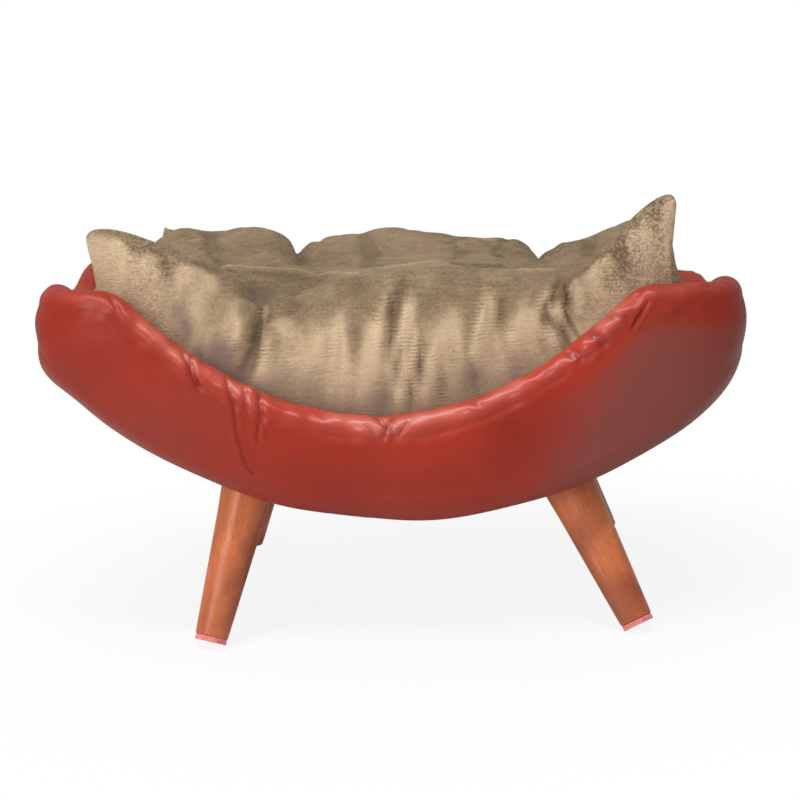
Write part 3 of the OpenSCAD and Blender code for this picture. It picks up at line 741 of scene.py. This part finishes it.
print("cushion")
pillow = {
    "clear": 1.2, "seamDrop": 12, "domePower": 6, "floorPower": 10, "floor": 32.4,
    "columns": 154, "rows": 94,
    # Above the rim the sides swell out between the corners, and draw in just behind them.
    "sideOut": 14, "frontOut": 12, "westNeck": 13, "eastNeck": 6, "neckShares": (0.74, 0.26),
    # How far the corners reach along and across, and how much blunter the one at the back left is.
    "earShares": (0.44, 0.62), "earPower": 1.3, "blunt": 1.12,
    # Where the cushion comes free of the tub, as heights over the rim.
    "free": (-26, 8), "loose": (-6, 10), "bulging": (2, 12), "bulgeShare": 0.04,
    # Most that the cloth moves, and how far from a corner's tip it is held and free.
    "cap": 5, "frames": 14, "earHold": (95, 35),
}

# Each corner of the cushion: how far out its tip is, along and across, and the tip's height.
ears = {(-1, -1): (253, 142, 350), (1, -1): (245, 134, 360),
        (-1, 1): (226, 138, 334), (1, 1): (238, 138, 320)}

# Heights of the stuffed top: for each y, the places x along it and their z. The front and the
# back are each three tufts, with a dished part between them.
tuftHeights = {
    -112: [(-228, 341), (-207, 339), (-188, 335), (-174, 329), (-159, 321), (-143, 312), (-128, 303),
          (-108, 294), (-93, 290), (-61, 291), (-39, 298), (-20, 297), (10, 302), (44, 303), (78, 300),
          (112, 299), (133, 298), (152, 297), (163, 299), (174, 305), (191, 321), (197, 332),
          (214, 345), (231, 350)],
    -75: [(-200, 322), (-150, 308), (-116, 292), (-80, 285), (-54, 284), (-20, 291), (20, 298),
          (78, 296), (130, 293), (180, 302), (215, 322)],
    -40: [(-230, 300), (-190, 306), (-142, 307), (-116, 305), (-80, 302), (-54, 296), (-23, 294),
          (0, 297), (35, 300), (75, 297), (115, 294), (160, 296), (200, 300), (235, 300)],
    15: [(-225, 300), (-150, 300), (-75, 298), (0, 296), (75, 296), (150, 292), (225, 290)],
    100: [(-214, 329), (-176, 329), (-147, 328), (-118, 323), (-95, 316), (-68, 314), (-46, 315),
          (0, 314), (26, 313), (55, 310), (90, 305), (110, 304), (141, 300), (153, 301), (175, 306),
          (199, 314), (225, 316)],
    130: [(-214, 326), (-120, 314), (0, 312), (110, 300), (200, 304)],
}

# Lines pressed into the cushion: the view each is drawn in, its width and depth, and its path.
# From the front and the back a path is in x and z, from above in x and y. A depth below zero
# is a raised fold. First come the creases that part the tufts.
strokes = [
    ("front", 9, 15, [(-107, 296), (-108, 280), (-113, 262), (-119, 242), (-122, 226)]),
    ("front", 9, 15, [(151, 300), (151, 271), (152, 254), (154, 238)]),
    ("top", 10, 13, [(-109, -125), (-111, -95), (-118, -62)]),
    ("top", 10, 11, [(152, -125), (152, -95), (148, -62)]),
    ("top", 10, 9, [(-92, 150), (-90, 105), (-84, 55), (-82, 20)]),
    ("top", 10, 7, [(141, 150), (141, 105), (138, 55), (140, 20)]),
    ("back", 10, 14, [(-91, 320), (-92, 280), (-94, 240)]),
    ("back", 10, 14, [(141, 300), (141, 270), (141, 235)]),
]
# Then the folds of the cloth. The narrow ones that are pressed in are crisp.
folds = [
    ("front", 3.2, 7, [(-110, 292), (-108, 278), (-112, 260), (-117, 244), (-119, 236)]),
    ("front", 1.5, 5.5, [(151, 296), (151, 271), (151, 254), (153, 240)]),
    ("front", 4, -3.4, [(-124, 276), (-128, 258), (-129, 242)]),
    ("front", 3, 2, [(-133, 268), (-136, 248)]),
    ("front", 4.5, -3.2, [(-101, 262), (-107, 240), (-111, 220)]),
    ("front", 3, 1.6, [(-93, 258), (-97, 236)]),
    ("front", 3.8, 5, [(12, 300), (6, 280), (2, 262), (-3, 240)]),
    ("front", 4.5, -3.4, [(1, 296), (-5, 277), (-9, 254), (-12, 236)]),
    ("front", 4, -2.6, [(18, 288), (13, 262), (8, 242)]),
    ("front", 3.9, 6.5, [(31, 250), (24, 228), (16, 208), (10, 190)]),
    ("front", 4.5, -2.8, [(40, 252), (33, 230), (24, 208)]),
    ("front", 4, -4, [(25, 270), (21, 245), (11, 218), (3, 200)]),
    ("front", 3.8, 4.5, [(12, 256), (5, 230), (-6, 206)]),
    ("front", 4.5, 2.6, [(52, 230), (42, 212), (34, 196)]),
    ("front", 5.5, -3.6, [(88, 294), (80, 276), (73, 254), (68, 232)]),
    ("front", 4, 2.2, [(99, 288), (90, 262), (84, 240)]),
    ("front", 3.8, 4.2, [(76, 240), (70, 220), (66, 203)]),
    ("front", 5, -2.2, [(112, 270), (104, 252), (97, 232)]),
    ("front", 3, 4, [(146, 296), (138, 282), (131, 274), (128, 260)]),
    ("front", 3.6, -2.4, [(139, 294), (131, 283), (123, 272), (120, 258)]),
    ("front", 2.8, 3.6, [(150, 284), (147, 262), (139, 243), (129, 231)]),
    ("front", 3.4, -3.2, [(144, 284), (141, 262), (132, 244), (122, 232)]),
    ("front", 2.4, 2.2, [(135, 268), (131, 252), (122, 240)]),
    ("front", 7, -2.2, [(-58, 270), (-60, 232)]),
    ("front", 6, -2.2, [(-40, 272), (-44, 236)]),
    ("front", 3.4, 1.6, [(-50, 262), (-52, 236)]),
    ("front", 7, 2.8, [(-84, 288), (-76, 272), (-72, 262)]),
    ("front", 3.5, 2.6, [(-106, 212), (-85, 205), (-64, 202)]),
    ("front", 6, 1.8, [(-160, 304), (-172, 290), (-184, 280)]),
    ("front", 7, 1.6, [(-190, 322), (-202, 300)]),
    ("front", 5, 2, [(196, 326), (186, 300), (174, 276)]),
    ("front", 6, 1.6, [(214, 334), (206, 306), (196, 286)]),
    ("top", 2, 5, [(-97, 128), (-91, 104), (-85, 66)]),
    ("top", 2, 5, [(138, 128), (142, 104), (146, 70)]),
    ("top", 2.6, -2.8, [(-168, -44), (-142, -40), (-116, -38), (-80, -40), (-54, -44), (-23, -46)]),
    ("top", 2.6, -2.2, [(-10, -46), (0, -44), (35, -40), (75, -40), (115, -41), (150, -44)]),
    ("top", 3.5, 2.6, [(-168, -51), (-116, -46), (-60, -50)]),
    ("top", 4, 1.8, [(-10, -36), (35, -32), (75, -32), (120, -34)]),
    ("top", 6, 2.4, [(-176, 90), (-168, 40), (-150, 5)]),
    ("top", 7, 2.4, [(-30, 110), (-20, 60), (-24, 15)]),
    ("top", 7, 2.2, [(60, 115), (66, 70), (58, 20)]),
    ("top", 5, 2.6, [(113, 118), (104, 90), (98, 60)]),
    ("top", 6, 2.2, [(190, 95), (182, 40)]),
    ("top", 6, 2.4, [(-220, 60), (-200, 20), (-205, -20)]),
]
crisp = [fold for fold in folds if fold[2] > 0 and fold[1] < 4]


def between(low, high, t):
    return low + (high - low) * (t + 1) / 2


def upperPlan(s, t):
    # The plan of the cushion above the rim: a pillow with pointed corners.
    neckAt, neckReach = pillow["neckShares"]
    neck = np.maximum(0, 1 - ((np.abs(t) - neckAt) / neckReach) ** 2)
    swell = pillow["sideOut"] * (1 - t ** 2) ** 2
    bulge = pillow["frontOut"] * (1 - s ** 2)
    west = between(ears[-1, -1][0], ears[-1, 1][0], t) + swell - pillow["westNeck"] * neck
    east = between(ears[1, -1][0], ears[1, 1][0], t) + swell - pillow["eastNeck"] * neck
    south = between(ears[-1, -1][1], ears[1, -1][1], s) + bulge
    north = between(ears[-1, 1][1], ears[1, 1][1], s) + bulge
    return s * np.where(s < 0, west, east), t * np.where(t < 0, south, north)


def upperShare(x, y):
    # The s and t of a place in that plan, found by going round until they settle.
    reachX, reachY = ears[1, -1][0], ears[1, -1][1]
    s, t = x / reachX, y / reachY
    for turn in range(40):
        atX, atY = upperPlan(s, t)
        s, t = s + (x - atX) / reachX, t + (y - atY) / reachY
    return s, t


def lowerPlan(s, t):
    # The plan inside the tub's wall.
    x, y = planPoint(np.arctan2(t, s), -tub["wall"] - pillow["clear"])
    m = np.maximum(np.abs(s), np.abs(t))
    return x * m, y * m


def planShare(x, y):
    # The angle of a place from the middle, and how far it lies towards the tub's inner wall.
    angles = np.linspace(-math.pi, math.pi, 1441)
    edgeX, edgeY = planPoint(angles, -tub["wall"] - pillow["clear"])
    turns = np.unwrap(np.arctan2(edgeY, edgeX))
    reach = np.hypot(edgeX, edgeY)
    turn = np.arctan2(y, x)
    turn = np.where(turn < turns[0], turn + 2 * math.pi, turn)
    turn = np.where(turn > turns[-1], turn - 2 * math.pi, turn)
    return np.interp(turn, turns, angles), np.hypot(x, y) / np.interp(turn, turns, reach)


def rimBeside(angle):
    return rimHeight(*planPoint(angle, 0))


def aboveRim(points):
    # How high each place lies over the rim beside it.
    angle, share = planShare(points[:, 0], points[:, 1])
    return points[:, 2] - rimBeside(angle)


def sewnHeight(s, t):
    # Height of the sewn edge: just under the rim, and up to the tip at each corner.
    level = rimBeside(np.arctan2(t, s)) - pillow["seamDrop"]
    alongShare, acrossShare = pillow["earShares"]
    away = np.hypot((1 - np.abs(s)) / alongShare, (1 - np.abs(t)) / acrossShare)
    amount = np.maximum(0, 1 - away) ** pillow["earPower"]
    amount = np.minimum(1, amount * np.where((s < 0) & (t > 0), pillow["blunt"], 1))
    high = np.zeros(np.shape(s))
    for (cornerS, cornerT), ear in ears.items():
        here = (np.where(s < 0, -1, 1) == cornerS) & (np.where(t < 0, -1, 1) == cornerT)
        high = np.where(here, ear[2], high)
    return level + (high - level) * amount


def dome(m):
    return np.sqrt(np.maximum(0, 1 - m ** pillow["domePower"]))


class Surface:
    # A smooth sheet close to given heights: a sum of r^2 log r about each place, and a plane.
    # Places are taken in decimetres.
    unit = 100
    softness = 0.004

    def __init__(self, places, heights):
        self.places = places / self.unit
        count = len(places)
        plane = np.column_stack([np.ones(count), self.places])
        matrix = np.zeros((count + 3, count + 3))
        matrix[:count, :count] = self.kernel(self.places) + np.eye(count) * self.softness
        matrix[:count, count:] = plane
        matrix[count:, :count] = plane.T
        self.weights = np.linalg.solve(matrix, np.concatenate([heights, np.zeros(3)]))

    def kernel(self, places):
        r = np.linalg.norm(places[:, None] - self.places[None], axis=-1)
        return r ** 2 * np.log(np.maximum(r, 1e-6))

    def at(self, x, y):
        places = np.column_stack([np.ravel(x), np.ravel(y)]) / self.unit
        count = len(self.places)
        flat = self.kernel(places) @ self.weights[:count]
        flat += self.weights[count] + places @ self.weights[count + 1:]
        return flat.reshape(np.shape(x))


def crownSurface():
    # The heights are those of the finished top, so the fall towards the sewn edge is taken out.
    places = [(x, y, z) for y, row in tuftHeights.items() for x, z in row]
    x, y, z = np.array(places, float).T
    s, t = upperShare(x, y)
    m = np.minimum(0.97, np.maximum(np.abs(s), np.abs(t)))
    sewn = sewnHeight(s, t)
    return Surface(np.column_stack([x, y]), sewn + (z - sewn) / dome(m))


crown = crownSurface()


def cushionSheet(s, t, top):
    # One sheet of the cushion over s and t from -1 to 1; its edge is the sewn seam. The top
    # rises from it in a dome, the bottom falls to the floor lining. Below the rim it fills the tub.
    m = np.maximum(np.abs(s), np.abs(t))
    lowX, lowY = lowerPlan(s, t)
    highX, highY = upperPlan(s, t)
    sewn = sewnHeight(s, t)
    if top:
        z = sewn + (crown.at(highX, highY) - sewn) * dome(m)
    else:
        low = underHeight(lowX) + pillow["floor"]
        z = sewn - (sewn - low) * np.sqrt(np.maximum(0, 1 - m ** pillow["floorPower"]))
    free = fade(z - rimBeside(np.arctan2(t, s)), *pillow["free"])
    return np.stack([lowX + (highX - lowX) * free, lowY + (highY - lowY) * free, z], -1)


def cushionForm():
    # The two sheets share the points of the sewn edge.
    columns, rows = pillow["columns"], pillow["rows"]
    s, t = np.meshgrid(np.linspace(-1, 1, columns), np.linspace(-1, 1, rows))
    top = cushionSheet(s, t, True).reshape(-1, 3)
    bottom = cushionSheet(s, t, False).reshape(-1, 3)
    inner = np.zeros((rows, columns), bool)
    inner[1:-1, 1:-1] = True
    below = np.arange(rows * columns).reshape(rows, columns)
    below[inner] = rows * columns + np.arange(inner.sum())
    faces = gridFaces(rows, columns)
    points = np.concatenate([top, bottom[inner.ravel()]])
    return meshFrom("cushionPlush", points, np.concatenate([faces, below.ravel()[faces[:, ::-1]]]))


def applyModifiers(piece):
    depsgraph = bpy.context.evaluated_depsgraph_get()
    depsgraph.update()
    made = bpy.data.meshes.new_from_object(piece.evaluated_get(depsgraph))
    old = piece.data
    piece.modifiers.clear()
    piece.data = made
    bpy.data.meshes.remove(old)


def vertexArray(mesh):
    points = np.empty(len(mesh.vertices) * 3)
    mesh.vertices.foreach_get("co", points)
    return points.reshape(-1, 3) / mm


def normalArray(mesh):
    normals = np.empty(len(mesh.vertices) * 3)
    mesh.vertices.foreach_get("normal", normals)
    return normals.reshape(-1, 3)


def setVertices(mesh, points):
    mesh.vertices.foreach_set("co", (points * mm).ravel())
    mesh.update()


# For each view, the axes that its lines are drawn in, and the axis and the two places between
# which the surface starts to feel them.
views = {"front": ((0, 2), 1, -70, -100), "back": ((0, 2), 1, 70, 100), "top": ((0, 1), 2, 235, 260)}


def strokeMask(points, stroke, sharp=False):
    # How strongly a line is felt at each point: 1 on it, falling off to its sides and its ends.
    view, width, depth, line = stroke
    axes, axis, start, end = views[view]
    places = points[:, axes]
    path = np.array(line, float)
    nearest = np.full(len(points), np.inf)
    for a, b in zip(path[:-1], path[1:]):
        t = np.clip((places - a) @ (b - a) / ((b - a) @ (b - a)), 0, 1)
        nearest = np.minimum(nearest, np.linalg.norm(places - a - t[:, None] * (b - a), axis=1))
    tips = np.minimum(np.linalg.norm(places - path[0], axis=1), np.linalg.norm(places - path[-1], axis=1))
    strength = fade(points[:, axis], start, end) * (0.35 + 0.65 * fade(tips, 0, 2.5 * width))
    share = nearest / width
    return strength * (np.exp(-1.4 * share) if sharp else np.exp(-share ** 2))


def press(mesh, lines, sharp):
    # Pushes the surface in along each line.
    points, normals = vertexArray(mesh), normalArray(mesh)
    deep = sum(line[2] * strokeMask(points, line, sharp) for line in lines)
    setVertices(mesh, points - normals * deep[:, None])


def keepInTub(mesh):
    # Below the rim the cushion stays inside the wall, and above the lining.
    points = vertexArray(mesh)
    angle, share = planShare(points[:, 0], points[:, 1])
    allowed = 1 + pillow["bulgeShare"] * fade(points[:, 2] - rimBeside(angle), *pillow["bulging"])
    points[:, :2] *= np.minimum(1, allowed / np.maximum(share, 1e-6))[:, None]
    points[:, 2] = np.maximum(points[:, 2], underHeight(points[:, 0]) + pillow["floor"])
    setVertices(mesh, points)


# The sewn cover is a little too large for its filling: cloth under pressure.
plushCloth = {
    "quality": 6, "mass": 0.25, "tension_stiffness": 18, "compression_stiffness": 12, "shear_stiffness": 6,
    "bending_stiffness": 0.35, "use_pressure": True, "uniform_pressure_force": 3.0, "shrink_min": -0.04,
    "vertex_group_mass": "held", "pin_stiffness": 1,
}


def holdCloth(piece, points):
    # It is held at the creases, near the corners' tips and where it lies in the tub.
    held = 1 - fade(aboveRim(points), *pillow["loose"])
    for stroke in strokes:
        held = np.maximum(held, np.minimum(1, 1.3 * strokeMask(points, stroke, True)))
    for (sideX, sideY), (outX, outY, tip) in ears.items():
        away = np.linalg.norm(points - (sideX * outX, sideY * outY, tip), axis=1)
        held = np.maximum(held, fade(away, *pillow["earHold"]))
    group = piece.vertex_groups.new(name="held")
    levels = 20
    for level in range(1, levels + 1):
        chosen = np.flatnonzero(np.round(held * levels) == level)
        group.add(chosen.tolist(), level / levels, "REPLACE")


def stuff(piece):
    # Swells the cushion. No point moves further than the cap.
    start = vertexArray(piece.data)
    holdCloth(piece, start)
    cloth = piece.modifiers.new("cloth", "CLOTH")
    for name, value in plushCloth.items():
        setattr(cloth.settings, name, value)
    cloth.settings.effector_weights.gravity = 0
    cloth.collision_settings.use_collision = False
    cloth.point_cache.frame_end = pillow["frames"]
    for step in range(1, pillow["frames"] + 1):
        scene.frame_set(step)
    applyModifiers(piece)
    scene.frame_set(1)
    piece.vertex_groups.clear()
    moved = vertexArray(piece.data) - start
    far = np.linalg.norm(moved, axis=1, keepdims=True)
    moved *= np.minimum(1, pillow["cap"] / np.maximum(far, 1e-6))
    print("cloth moved up to", round(float(far.max()), 1), "mm, on average", round(float(far.mean()), 2))
    setVertices(piece.data, start + moved)


nap = {
    # Where the surface turns from level to upright, and so from painted shade on top to painted light down
    # the sides.
    "facing": (0.54, 0.08), "hatched": (0.8, 0.5), "lobes": (130, 190),
    # The dished part, which is painted in shade, and the bruised ones at the right and left corners:
    #     # middle and width along and across.
    "dished": (-75, 52, -74, 26), "dishedAbove": (270, 280),
    "bruise": (222, 52, -128, 60), "bruiseAbove": (225, 255), "leftBruise": (-205, 44, -125, 50),
    # The painted shade just over the rim at the front: its heights, and where it is deeper and fainter.
    "shadeOverRim": (23, 8), "uneven": 10, "shadeOverRimFront": (-60, -90), "deeper": (-142, 30),
    "leftFaint": (-165, -195), "rightFaint": (90, 130),
    # How light the pile's painted shading is on top, and how much each of these changes it.
    "base": 0.14, "sides": 0.64, "broad": 0.05, "lobesLift": 0.16, "dishedDrop": 0.18,
    "shadeOverRimDrop": 0.12, "bruiseDrop": 0.06, "creaseDrop": 0.22, "foldDrop": 0.13,
    # Upright streaks, and wavelengths.
    "upright": 0.35, "edgeWave": 30, "broadWave": 70, "fineWave": 17, "rimWave": 38, "shadeWave": 85,
}


def patch(x, y, middleX, widthX, middleY, widthY):
    return bell(x, middleX, widthX) * bell(y, middleY, widthY)


def tuckedShade(points):
    # Painted shade just over the rim at the front, deeper left of the middle and fainter far left and to
    # the right.
    x, y, z = points.T
    over = aboveRim(points) - nap["uneven"] * ripple(points, nap["rimWave"], 16)
    shade = 0.65 + 0.4 * ripple(points, nap["shadeWave"], 17) + 0.8 * bell(x, *nap["deeper"])
    shade -= 0.55 * fade(x, *nap["leftFaint"]) + 0.4 * fade(x, *nap["rightFaint"])
    return fade(over, *nap["shadeOverRim"]) * fade(y, *nap["shadeOverRimFront"]) * np.clip(shade, 0.1, 1.2)


def dressPile(mesh):
    # Painted light and shade in the pile: lighter down the sides and darker on top, as light falls,
    #     # darkest in the dished part and the creases, lighter on raised folds. It is bruised at the front
    #     corners and hatched along the folds.
    points, level = vertexArray(mesh), normalArray(mesh)[:, 2]
    x, y, z = points.T
    ragged = points * (1, 1, nap["upright"])
    edgeNoise = 0.13 * ripple(ragged, nap["edgeWave"], 15)
    # Painted light: upright faces lighter than level tops, as light falls from the front.
    facing = fade(level - edgeNoise, *nap["facing"])
    shadeOverRim = tuckedShade(points)
    crackle = patch(x, y, *nap["bruise"]) * fade(z, *nap["bruiseAbove"])
    crackle += 0.6 * patch(x, y, *nap["leftBruise"])
    pileToneAndShading = nap["base"] + nap["sides"] * facing + nap["broad"] * ripple(points, nap["broadWave"], 12)
    pileToneAndShading += (0.02 + 0.05 * facing) * ripple(ragged, nap["fineWave"], 13)
    pileToneAndShading += nap["lobesLift"] * fade(np.abs(x), *nap["lobes"]) * facing
    # Painted shade in the dished part of the top.
    dished = patch(x, y, *nap["dished"]) * fade(z, *nap["dishedAbove"])
    pileToneAndShading -= nap["dishedDrop"] * dished + nap["shadeOverRimDrop"] * shadeOverRim
    pileToneAndShading -= nap["bruiseDrop"] * np.clip(crackle, 0, 1)
    hatch = 0.22 * np.clip(ripple(ragged, nap["edgeWave"], 14) - 0.4, 0, 1) * fade(level, *nap["hatched"])
    # Painted shade along the creases; along the folds, painted shade where pressed in and painted light on
    # raised ones.
    for stroke in strokes:
        pileToneAndShading -= nap["creaseDrop"] * strokeMask(points, stroke, True)
    for fold in folds:
        view, width, depth, path = fold
        pileToneAndShading -= np.clip(depth, -2.4, 4) * nap["foldDrop"] * strokeMask(points, fold, fold in crisp)
        if view == "front":
            wide = (view, 1.8 * width, depth, path)
            hatch += (0.75 if depth < 0 else 0.3) * strokeMask(points, wide) ** 2
    shares = {"pileToneAndShading": pileToneAndShading, "crackle": crackle, "hatch": hatch, "shadeOverRim": shadeOverRim}
    setAttributes(mesh, {name: np.clip(values, 0, 1) for name, values in shares.items()})


cushion = cushionForm()
press(cushion.data, strokes, True)
keepInTub(cushion.data)
stuff(cushion)
keepInTub(cushion.data)
smooth = cushion.modifiers.new("subdivision", "SUBSURF")
smooth.levels = smooth.render_levels = 1
applyModifiers(cushion)
press(cushion.data, crisp, True)
press(cushion.data, [fold for fold in folds if fold not in crisp], False)
dressPile(cushion.data)
print("cushion", len(cushion.data.polygons), "faces")
cushion.data.materials.append(taupeVelvet)
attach(cushion, "cushion")
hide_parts("cushion")
